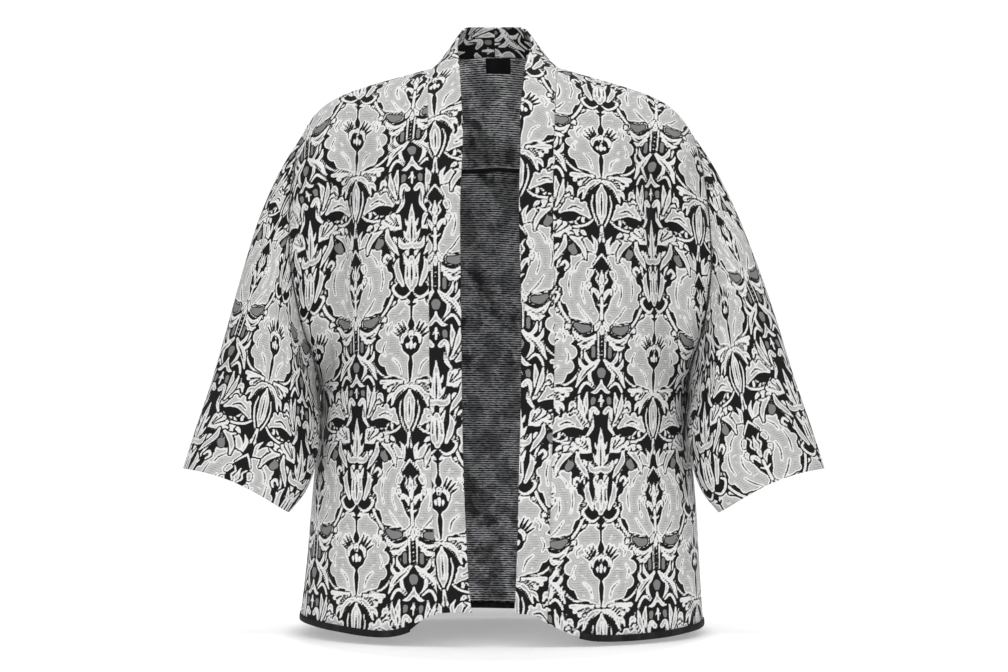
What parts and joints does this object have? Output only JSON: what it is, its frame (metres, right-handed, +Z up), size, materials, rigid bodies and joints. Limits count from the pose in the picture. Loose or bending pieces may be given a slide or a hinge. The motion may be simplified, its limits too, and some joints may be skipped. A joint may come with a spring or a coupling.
{
  "type": "kimono jacket",
  "caption": "Open-front kimono jacket with wide neck band, low-set three-quarter sleeves, back yoke and bound hem, in worn hollow form.",
  "frame": {"origin": "midway between the two neck points of the shoulders, where the wearer holds the garment up", "axes": "+Z up, the open front faces -Y, +X towards the wearer's left sleeve"},
  "size_m": [0.822, 0.2889, 0.7924],
  "materials": {
    "damask": "woven black and off-white damask, slight sheen",
    "binding": "matt black woven strip",
    "label": "bare black woven tab"
  },
  "bodies": {
    "root": {"front_left": "damask", "front_right": "damask", "back_yoke": "damask", "back": "damask", "sleeve_left": "damask", "sleeve_right": "damask", "band_left": "damask", "band_right": "damask", "hem_binding": "binding", "label": "label"}
  },
  "joints": []
}
